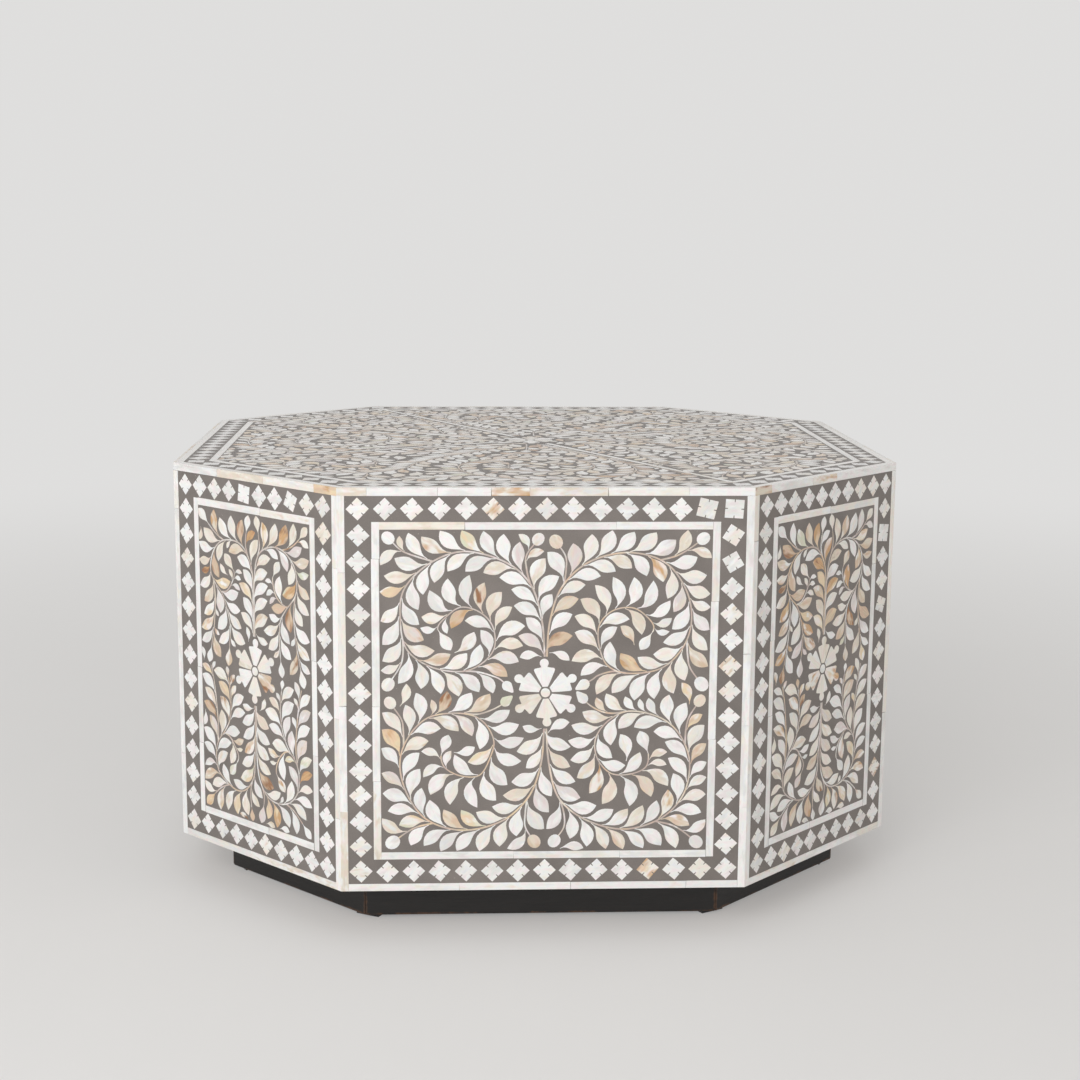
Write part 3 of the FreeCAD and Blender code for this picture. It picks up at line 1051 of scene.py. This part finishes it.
    def set_single(self, spot, heading, half):
        """Sets the largest leaf that fits over an open spot."""
        cut = self.draw.choice(self.cuts)[self.single_spread]
        spread = math.atan2(cut.tip[1], cut.tip[0])
        side = self.draw.choice((-1, 1))
        reach = min(self.single_leaf * half, self.leaf)
        while reach > max(2 * half, self.least_single):
            for turn in self.single_turns:
                along = heading + math.radians(turn) - side * spread
                stem = stem_axes((math.cos(along), math.sin(along)), side)
                toward = cut.tip @ stem
                base = spot - self.single_middle * reach * toward
                if self.fits(cut, base, reach * stem):
                    self.add_leaf(base + cut.outline @ (reach * stem), toward)
                    return
            reach -= self.leaf_step

    def add_leaf(self, outline, toward):
        """Keeps a leaf and the resin round it."""
        self.leaves.append((outline, toward))
        self.leaf_ground.take(grown(outline, self.sizes.leaf_gap))

    def fits(self, cut, base, stem):
        """Whether neither a stem nor another leaf is in a leaf's way."""
        return (self.leaf_ground.clear((base + cut.tip @ stem)[None])
                and self.stem_ground.clear(base + cut.blade @ stem)
                and self.leaf_ground.clear(base + cut.whole @ stem))


def mirrored(groups):
    """A quarter's vines in all four quarters of a side face."""
    return [[[(side * x, level * y) for x, y in route] for route in group]
            for side in (-1, 1) for level in (1, -1) for group in groups]


def turned(groups):
    """A quarter's vines in all four quarters of the top."""
    copies = []
    for quarter in range(4):
        turn = Matrix.Rotation(quarter * math.pi / 2, 2)
        copies += [[[tuple(turn @ Vector(point)) for point in route] for route in group] for group in groups]
    return copies


# Resin between the rosette's knobs and the radial strips.
RADIAL_GAP = 4 * MM


def radial_corners(sizes):
    """Corners of the four strips that quarter the top, outer edge first."""
    strips = []
    for corner in octagon(SKIN + EDGE_STRIP + sizes.border + sizes.frame_strip)[1::2]:
        toward = corner.normalized()
        half = Vector((-toward.y, toward.x)) * sizes.radial_strip / 2
        start = toward * (ROSETTE_REACH + RADIAL_GAP)
        strips.append([start - half, corner - half, corner + half, start + half])
    return strips


PETALS = 6
# Half of a petal's edge, from its foot to its knob, in millimetres out from the rosette's middle and aside.
PETAL_EDGE = ((6.0, 2.6), (14.0, 6.5), (21.6, 9.9), (23.2, 10.2), (24.4, 9.3), (24.9, 6.2), (25.6, 3.0))
# Radius of the round knob on a petal's tip, and the angles of the points on one side of it.
KNOB = 4.4 * MM
KNOB_ANGLES = (130, 105, 80, 55, 30, 10)


def petal_turns():
    """Directions of a rosette's six petals, the first one upwards."""
    return [math.pi / 2 + k * 2 * math.pi / PETALS for k in range(PETALS)]


def petal_outline(turn):
    """One petal of a rosette: a flared blade with hooked shoulders and a round knob on its tip."""
    knob_middle = ROSETTE_REACH - KNOB
    half = [(out * MM, aside * MM) for out, aside in PETAL_EDGE]
    for angle in KNOB_ANGLES:
        angle = math.radians(angle)
        half.append((knob_middle + KNOB * math.cos(angle), KNOB * math.sin(angle)))
    whole = [(out, -aside) for out, aside in half] + half[::-1]
    turning = Matrix.Rotation(turn, 2)
    return [turning @ Vector(point) for point in whole]


# Resin kept free of leaves round a petal, along a radial strip and along the frame.
PETAL_CLEARANCE = 2.4 * MM
RADIAL_CLEARANCE = 2 * MM
FRAME_CLEARANCE = 0.3 * MM
# Rim of a rosette that leaves may reach into, between the knobs, and points round it.
ROSETTE_RIM = 5 * MM
ROSETTE_POINTS = 32


def face_scroll(face, sizes):
    """The scroll of one kind of face, fitted round the rosette and the top's radial strips."""
    kept_free = [grown(np.array(petal_outline(turn)), PETAL_CLEARANCE) for turn in petal_turns()]
    kept_free.append(circle(ROSETTE_REACH - ROSETTE_RIM, ROSETTE_POINTS))
    field = face.outline(EDGE_STRIP + sizes.border + sizes.frame_strip + FRAME_CLEARANCE)
    if face.kind == "top":
        kept_free += [grown(np.array(corners, float), RADIAL_CLEARANCE) for corners in radial_corners(sizes)]
        return Scroll("top", field, turned(TOP_QUARTER), kept_free, sizes)
    quarter = CORNER_QUARTER if face.kind == "corner" else LONG_QUARTER
    return Scroll(face.kind, field, mirrored(quarter), kept_free, sizes)


# How far a stem lies under the leaves' surface; a shoot lies lower, so that it meets its vine from below.
STEM_LEVEL = 0.03 * MM
SHOOT_LEVEL = 0.05 * MM
# Width of a stem at its root, in stem widths, and how much less it is at its end.
STEM_ROOT = 1.05
STEM_TAPER = 0.35


def lay_stems(face, scroll, sizes, colours):
    """The stems of a face's vines: flat ribbons of shell, thinner towards the buds."""
    mesh = bmesh.new()
    layers = shell_layers(mesh)
    stock = ShellStock(colours, STEM_MIX, "stems", face)
    for vine in scroll.vines:
        path = vine.path
        last = len(path) - 1
        aside = beside(directions(path))
        shades, grain = stock.piece()
        level = -SHOOT_LEVEL if vine.shoot else -STEM_LEVEL
        ribbon = bmesh.ops.create_grid(mesh, x_segments=last, y_segments=1, size=0.5)["verts"]
        for vertex in ribbon:
            k = round((vertex.co.x + 0.5) * last)
            half = math.copysign(sizes.stem / 2 * (STEM_ROOT - STEM_TAPER * k / last), vertex.co.y)
            vertex.co = (*(path[k] + half * aside[k]), level)
            mark(vertex, layers, shades, (k * scroll.path_step, half, grain))
    raise_faces(mesh, mesh.faces[:], -sizes.inlay_depth)
    return finished(face.name + "_stems", mesh, face.place)


class PEARL_OT_grounds(bpy.types.Operator):
    """Lays the grey resin ground of every face"""
    bl_idname = "pearl.grounds"
    bl_label = "Resin grounds"
    bl_options = {"REGISTER", "UNDO"}

    def execute(self, context):
        finish = resin_finish(context.scene.pearl_colours)
        for face in ALL_FACES:
            piece = self.plate(face, context.scene.pearl_sizes)
            dress(piece, finish, "grey_resin", face.name + "_resin")
        return {"FINISHED"}

    def plate(self, face, sizes):
        """One flat ground between the edge strips, let in a hair below the shell."""
        mesh = bmesh.new()
        corners = [mesh.verts.new((*point, -SKIN)) for point in face.outline(EDGE_STRIP)]
        raise_faces(mesh, [mesh.faces.new(corners)], SKIN - sizes.recess)
        return finished(face.name + "_ground", mesh, face.place)


class PEARL_OT_strips(bpy.types.Operator):
    """Lays the shell strips along the edges, frames and quarters of every face"""
    bl_idname = "pearl.strips"
    bl_label = "Shell strips"
    bl_options = {"REGISTER", "UNDO"}
    # How far a frame strip and a radial strip stray to either side.
    frame_waver = 0.5 * MM
    radial_waver = 0.2 * MM

    def execute(self, context):
        sizes = context.scene.pearl_sizes
        colours = context.scene.pearl_colours
        finish = shell_finish()
        for face in ALL_FACES:
            bands = Inlay(face, ShellStock(colours, BAND_MIX, "bands", face))
            edges = Inlay(face, ShellStock(colours, STRIP_MIX[face.kind], "strips", face))
            frames = Inlay(face, edges.stock)
            if face.kind == "top":
                self.top_strips(edges, frames, sizes)
            else:
                self.side_edges(face, edges, bands, sizes)
                self.side_frame(face, frames, sizes)
            piece = self.joined(face, (edges, bands), frames, sizes)
            dress(piece, finish, "shell", face.name + "_strips")
        return {"FINISHED"}

    def joined(self, face, thick, thin, sizes):
        """Joins a face's edge strips, as thick as its skin, and its frame strips in one piece."""
        solids = [inlay.solid(face.name + "_part", SKIN, sizes.arris) for inlay in thick]
        solids.append(thin.solid(face.name + "_part", sizes.inlay_depth, sizes.arris))
        mesh = bmesh.new()
        for solid in solids:
            mesh.from_mesh(solid.data)
            bpy.data.meshes.remove(solid.data)
        return finished(face.name + "_shell_strips", mesh)

    def side_edges(self, face, edges, bands, sizes):
        """Strips round the edge of a side face: a top band over two uprights and a bottom strip."""
        low = side_levels(0.0)[0]
        high = HEIGHT - FIELD_MIDDLE
        under_band = high - TOP_BAND
        half = face.half
        inner = half - EDGE_STRIP
        band = rectangle(-half, half, under_band, high)
        pieced_strip(bands, band[2:] + band[:2], sizes, "band", 0.0, half)
        for side in (-1, 1):
            upright = rectangle(side * half, side * inner, low, under_band)
            pieced_strip(edges, upright[:1] + upright[:0:-1], sizes, "upright", 0.0, half)
        pieced_strip(edges, rectangle(-inner, inner, low, low + EDGE_STRIP), sizes, "bottom")

    def side_frame(self, face, frames, sizes):
        """Frame round a side face's field: uprights full height, rails between them."""
        inset = EDGE_STRIP + sizes.border
        low, high = side_levels(inset)
        outer = face.half - inset
        inner = outer - sizes.frame_strip
        for side in (-1, 1):
            upright = rectangle(side * outer, side * inner, low, high)
            pieced_strip(frames, upright[:1] + upright[:0:-1], sizes, "upright", self.frame_waver)
        for edge, inward in ((low, sizes.frame_strip), (high, -sizes.frame_strip)):
            rail = rectangle(-inner, inner, edge, edge + inward)
            pieced_strip(frames, rail, sizes, "upright", self.frame_waver)

    def top_strips(self, edges, frames, sizes):
        """Strips round the top's edge and its field, mitred at the corners, and those that quarter it."""
        border_end = EDGE_STRIP + sizes.border
        for inlay, start, width in ((edges, 0.0, EDGE_STRIP), (frames, border_end, sizes.frame_strip)):
            outer = TOP.outline(start)
            inner = TOP.outline(start + width)
            for k in range(len(outer)):
                pieced_strip(inlay, [outer[k - 1], outer[k], inner[k], inner[k - 1]], sizes, "ring")
        for corners in radial_corners(sizes):
            pieced_strip(frames, corners, sizes, "radial", self.radial_waver)


class PEARL_OT_diamonds(bpy.types.Operator):
    """Sets the notched shell diamonds in the border of every face"""
    bl_idname = "pearl.diamonds"
    bl_label = "Border diamonds"
    bl_options = {"REGISTER", "UNDO"}
    # Diamonds of a face that were set askew, in degrees: row and place in it, from the left or the top.
    askew = {
        "front": {("high", 13): 32, ("high", 14): 43, ("right", 1): 15, ("right", 2): -14},
        "front_left": {("high", 4): 36, ("high", 7): 20},
        "front_right": {("right", 2): 38, ("right", 5): 22},
        "left": {("low", 3): -16},
        "back": {("high", 6): 20, ("left", 8): -13},
        "right": {("left", 5): 18},
    }
    # Those turned past this are cut larger, to fill their place.
    far_askew = 30
    askew_growth = 1.12
    # Spread of the hand-cut turns in degrees, limits of the size, and the most shift.
    turn_spread = 2.2
    least_cut = 0.95
    most_cut = 1.01
    shift = 0.4 * MM

    def execute(self, context):
        sizes = context.scene.pearl_sizes
        finish = shell_finish()
        for face in ALL_FACES:
            inlay = Inlay(face, ShellStock(context.scene.pearl_colours, DIAMOND_MIX, "diamonds", face))
            if face.kind == "top":
                self.top_border(inlay, sizes)
            else:
                self.side_border(face, inlay, sizes)
            piece = inlay.solid(face.name + "_border_diamonds", sizes.inlay_depth, sizes.arris)
            dress(piece, finish, "shell", *side_node(face, "_diamonds"))
        return {"FINISHED"}

    def diamond(self, inlay, middle, facing, sizes, askew=0.0):
        """One diamond, a little off its size and angle as cut by hand."""
        draw = inlay.stock.draw
        turn = facing + math.radians(draw.gauss(0.0, self.turn_spread) + askew)
        reach = sizes.diamond / 2 * draw.uniform(self.least_cut, self.most_cut)
        if abs(askew) > self.far_askew:
            reach *= self.askew_growth
        shift = Vector((draw.uniform(-self.shift, self.shift), draw.uniform(-self.shift, self.shift)))
        along = Vector((1.0, 0.0)) if draw.random() < 0.5 else Vector((1.0, 1.0))
        inlay.add(notched_diamond(middle + shift, reach, turn, sizes), along)

    def side_border(self, face, inlay, sizes):
        """Diamonds along the four sides of a side face's border."""
        middle = EDGE_STRIP + sizes.border / 2
        low, high = side_levels(middle)
        reach = face.half - middle
        askew = self.askew.get(face.name, {})
        columns = stations(-reach, reach, sizes.border)
        levels = stations(low, high, sizes.border)[::-1]
        for row, level in (("low", low), ("high", high)):
            for k, across in enumerate(columns):
                self.diamond(inlay, Vector((across, level)), 0.0, sizes, askew.get((row, k), 0.0))
        for row, across in (("left", -reach), ("right", reach)):
            for k, level in enumerate(levels[1:-1], 1):
                self.diamond(inlay, Vector((across, level)), 0.0, sizes, askew.get((row, k), 0.0))

    def top_border(self, inlay, sizes):
        """Diamonds along the top's border, one on each corner."""
        ring = TOP.outline(EDGE_STRIP + sizes.border / 2)
        for here, after in zip(ring, ring[1:] + ring[:1]):
            run = after - here
            for place in stations(0.0, run.length, sizes.border)[:-1]:
                middle = here.lerp(after, place / run.length)
                self.diamond(inlay, middle, math.atan2(run.y, run.x), sizes)


class PEARL_OT_rosettes(bpy.types.Operator):
    """Sets a six-petalled shell rosette in the middle of every face"""
    bl_idname = "pearl.rosettes"
    bl_label = "Rosettes"
    bl_options = {"REGISTER", "UNDO"}
    # Radius of the centre button, points round it, and how far a petal is turned off its place in degrees.
    button = 4.6 * MM
    button_points = 20
    petal_slip = 4

    def execute(self, context):
        sizes = context.scene.pearl_sizes
        finish = shell_finish()
        for face in ALL_FACES:
            stock = ShellStock(context.scene.pearl_colours, ROSETTE_MIX[face.kind], "rosettes", face)
            inlay = Inlay(face, stock)
            for petal in petal_turns():
                turn = petal + math.radians(stock.draw.uniform(-self.petal_slip, self.petal_slip))
                inlay.add(petal_outline(turn), (math.cos(turn), math.sin(turn)))
            inlay.add(circle(self.button, self.button_points), (1.0, 0.0))
            piece = inlay.solid(face.name + "_petals", sizes.inlay_depth, sizes.arris)
            dress(piece, finish, "shell", *side_node(face, "_rosette"))
        return {"FINISHED"}


class PEARL_OT_scrolls(bpy.types.Operator):
    """Lays the vines of every face's field with their leaves and buds"""
    bl_idname = "pearl.scrolls"
    bl_label = "Leaf scrolls"
    bl_options = {"REGISTER", "UNDO"}

    def execute(self, context):
        sizes = context.scene.pearl_sizes
        colours = context.scene.pearl_colours
        finish = shell_finish()
        drawings = {face.kind: face_scroll(face, sizes) for face in (SIDES[0], SIDES[1], TOP)}
        for face in ALL_FACES:
            scroll = drawings[face.kind]
            dress(lay_stems(face, scroll, sizes, colours), finish, "shell")
            inlay = Inlay(face, ShellStock(colours, LEAF_MIX[face.kind], "leaves", face))
            for outline, toward in scroll.leaves:
                inlay.add(outline, toward)
            dress(inlay.solid(face.name + "_leaves", sizes.inlay_depth, sizes.arris), finish, "shell")
        return {"FINISHED"}


class PEARL_OT_plinth(bpy.types.Operator):
    """Makes the black-stained plinth boards with rubbed edges"""
    bl_idname = "pearl.plinth"
    bl_label = "Plinth"
    bl_options = {"REGISTER", "UNDO"}

    def execute(self, context):
        finish = plinth_finish(context.scene.pearl_colours)
        for face in SIDES:
            piece = self.board(face, context.scene.pearl_sizes)
            dress(piece, finish, "plinth_wood", face.name + "_plinth")
        return {"FINISHED"}

    def board(self, face, sizes):
        """One upright board, mitred to its neighbours."""
        front = PLINTH_INSET - face.apothem
        back = front + PLINTH_BOARD
        wide = face.half - PLINTH_INSET * MITRE
        narrow = wide - PLINTH_BOARD * MITRE
        mesh = bmesh.new()
        plan = ((-wide, front), (wide, front), (narrow, back), (-narrow, back))
        floor = mesh.faces.new([mesh.verts.new((x, y, PLINTH_LOW.z)) for x, y in plan])
        raise_faces(mesh, [floor], PLINTH_HIGH.z - PLINTH_LOW.z)
        bmesh.ops.bevel(mesh, geom=mesh.edges[:], offset=sizes.plinth_edge, affect="EDGES", segments=3,
                        profile=0.5, material=-1)
        self.wear(mesh, sizes)
        return finished(face.name + "_plinth_board", mesh, face.turn)

    def wear(self, mesh, sizes):
        """Marks a margin of each broad side as worn, and its middle as sound."""
        wear = mesh.verts.layers.float.new("wear")
        for vertex in mesh.verts:
            vertex[wear] = 1.0
        broad = [side for side in mesh.faces
                 if min(edge.calc_length() for edge in side.edges) > 2 * sizes.plinth_wear]
        bmesh.ops.inset_individual(mesh, faces=broad, thickness=sizes.plinth_wear, use_even_offset=True)
        for side in broad:
            for vertex in side.verts:
                vertex[wear] = 0.0


class PEARL_OT_boards(bpy.types.Operator):
    """Finishes the carcass boards, the blocks and the felt pads"""
    bl_idname = "pearl.boards"
    bl_label = "Boards, blocks and pads"
    bl_options = {"REGISTER", "UNDO"}

    def execute(self, context):
        colours = context.scene.pearl_colours
        board = grained_wood("raw_fibre_board", linear(colours.board), dark=0.86,
                             grain_scale=(160.0, 160.0, 160.0), rough=0.85)
        block = grained_wood("softwood", linear(colours.block), dark=0.72,
                             grain_scale=(90.0, 90.0, 9.0), rough=0.75)
        boards = [name + "_panel" for name in FACES] + ["top_board", "base_board"]
        for nodes, finish in ((boards, board.material), (["felt_pads"], felt_finish(colours)),
                              (["corner_blocks", "top_cleats", "plinth_blocks"], block.material)):
            for node in nodes:
                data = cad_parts[node].data
                data.materials.clear()
                data.materials.append(finish)
        return {"FINISHED"}


def seen_rays(tree):
    """One for rays that show the background: from the camera, mirrored or through glass."""
    path = tree.nodes.new("ShaderNodeLightPath")
    seen = path.outputs["Is Camera Ray"]
    for ray in ("Is Glossy Ray", "Is Transmission Ray"):
        either = tree.nodes.new("ShaderNodeMath")
        either.operation = "MAXIMUM"
        tree.links.new(seen, either.inputs[0])
        tree.links.new(path.outputs[ray], either.inputs[1])
        seen = either.outputs["Value"]
    return seen


class PEARL_OT_studio(bpy.types.Operator):
    """Sets the pale floor, the soft light and the camera"""
    bl_idname = "pearl.studio"
    bl_label = "Studio"
    bl_options = {"REGISTER", "UNDO"}
    # Half width of the floor, the distances between which it fades, and how much the background veils it
    # at the first.
    floor_reach = 30.0
    fade_start = 0.5
    fade_end = 3.0
    first_veil = 0.35
    # Width of the camera's square frame in millimetres.
    frame_width = 36.0

    def execute(self, context):
        scene = context.scene
        scene.view_settings.view_transform = "Standard"
        studio = scene.pearl_studio
        self.floor(scene.pearl_colours)
        self.world(scene, scene.pearl_colours, studio)
        self.lamp("key_light", studio.key_place, studio.key_power, studio.key_shade, studio.lamp_side)
        self.lamp("fill_light", studio.fill_place, studio.fill_power, studio.fill_shade, studio.lamp_side)
        self.camera(scene, studio)
        return {"FINISHED"}

    def floor(self, colours):
        """A wide pale floor that fades into the background, and is clear from below."""
        mesh = bmesh.new()
        bmesh.ops.create_grid(mesh, x_segments=1, y_segments=1, size=self.floor_reach)
        floor = finished("studio_floor", mesh)
        finish = Finish("studio_floor")
        shade = linear(colours.floor)
        place = finish.coordinates()
        mottle = finish.noise(place, scale=3.0)
        finish.set(Base_Color=finish.ramp(mottle, (0.3, shade * 0.985), (0.7, shade)), Roughness=0.8)
        distance = finish.node("ShaderNodeVectorMath", {"operation": "LENGTH"}, Vector=place).outputs["Value"]
        veil = finish.remap(distance, self.fade_start, self.fade_end, self.first_veil, 1.0)
        far = finish.times(veil, seen_rays(finish.tree))
        haze = finish.node("ShaderNodeEmission", Color=(*linear(colours.background), 1.0), Strength=1.0)
        fade = finish.tree.nodes.new("ShaderNodeMixShader")
        finish.plug(fade, 0, far)
        finish.plug(fade, 1, finish.surface.outputs["BSDF"])
        finish.plug(fade, 2, haze.outputs["Emission"])
        clear = finish.tree.nodes.new("ShaderNodeMixShader")
        finish.plug(clear, 0, finish.node("ShaderNodeNewGeometry").outputs["Backfacing"])
        finish.plug(clear, 1, fade.outputs["Shader"])
        finish.plug(clear, 2, finish.node("ShaderNodeBsdfTransparent").outputs["BSDF"])
        finish.plug(finish.tree.nodes["Material Output"], "Surface", clear.outputs["Shader"])
        floor.data.materials.append(finish.material)

    def world(self, scene, colours, studio):
        """Even light from all round, and a pale background where the camera or a gloss sees it."""
        world = bpy.data.worlds.new("studio_light")
        world.use_nodes = True
        scene.world = world
        tree = world.node_tree
        light = tree.nodes["Background"]
        light.inputs["Color"].default_value = (*linear(studio.sky_shade), 1.0)
        light.inputs["Strength"].default_value = studio.sky
        shown = tree.nodes.new("ShaderNodeBackground")
        shown.inputs["Color"].default_value = (*linear(colours.background), 1.0)
        choice = tree.nodes.new("ShaderNodeMixShader")
        tree.links.new(seen_rays(tree), choice.inputs["Fac"])
        tree.links.new(light.outputs["Background"], choice.inputs[1])
        tree.links.new(shown.outputs["Background"], choice.inputs[2])
        tree.links.new(choice.outputs["Shader"], tree.nodes["World Output"].inputs["Surface"])

    def lamp(self, name, place, power, shade, side):
        """A square soft light turned to the table's middle."""
        light = bpy.data.lights.new(name, "AREA")
        light.size = side
        light.energy = power
        light.color = linear(shade)
        lamp = bpy.data.objects.new(name, light)
        toward = Vector((0.0, 0.0, HEIGHT / 2)) - Vector(place)
        lamp.matrix_world = Matrix.Translation(place) @ toward.to_track_quat("-Z", "Y").to_matrix().to_4x4()
        bpy.context.scene.collection.objects.link(lamp)

    def camera(self, scene, studio):
        """A camera at the view that the sizes were taken from."""
        lens = bpy.data.cameras.new("camera")
        lens.sensor_fit = "HORIZONTAL"
        lens.sensor_width = self.frame_width
        lens.lens = studio.lens
        camera = bpy.data.objects.new("camera", lens)
        level = Matrix.Rotation(-studio.heading, 4, "Z") @ Matrix.Rotation(math.pi / 2 - studio.pitch, 4, "X")
        roll = Matrix.Rotation(studio.roll, 4, "Z")
        camera.matrix_world = Matrix.Translation(studio.camera_place) @ level @ roll
        scene.collection.objects.link(camera)
        scene.camera = camera


class PEARL_PT_table(bpy.types.Panel):
    """Lists the table's pieces with their sizes and colours"""
    bl_idname = "PEARL_PT_table"
    bl_label = "Pearl inlay table"
    bl_space_type = "VIEW_3D"
    bl_region_type = "UI"
    bl_category = "Pearl table"

    def draw(self, context):
        for operator in OPERATORS:
            self.layout.operator(operator.bl_idname)
        for group in (context.scene.pearl_sizes, context.scene.pearl_colours, context.scene.pearl_studio):
            column = self.layout.column()
            for key in group.__annotations__:
                column.prop(group, key)


GROUPS = {"pearl_sizes": PearlSizes, "pearl_colours": PearlColours, "pearl_studio": PearlStudio}
OPERATORS = (PEARL_OT_grounds, PEARL_OT_strips, PEARL_OT_diamonds, PEARL_OT_rosettes, PEARL_OT_scrolls,
             PEARL_OT_plinth, PEARL_OT_boards, PEARL_OT_studio)


def register():
    """Registers the sizes and colours, the operators and the panel."""
    for group in GROUPS.values():
        bpy.utils.register_class(group)
    for key, group in GROUPS.items():
        setattr(bpy.types.Scene, key, bpy.props.PointerProperty(type=group))
    for kind in (*OPERATORS, PEARL_PT_table):
        bpy.utils.register_class(kind)


def unregister():
    """Takes the panel, the operators and the sizes and colours away again."""
    for kind in (PEARL_PT_table, *reversed(OPERATORS)):
        bpy.utils.unregister_class(kind)
    for key, group in GROUPS.items():
        delattr(bpy.types.Scene, key)
        bpy.utils.unregister_class(group)


def main():
    """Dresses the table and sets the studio."""
    register()
    bpy.ops.pearl.grounds()
    bpy.ops.pearl.strips()
    bpy.ops.pearl.diamonds()
    bpy.ops.pearl.rosettes()
    bpy.ops.pearl.scrolls()
    bpy.ops.pearl.plinth()
    bpy.ops.pearl.boards()
    bpy.ops.pearl.studio()
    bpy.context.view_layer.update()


if __name__ == "__main__":
    main()
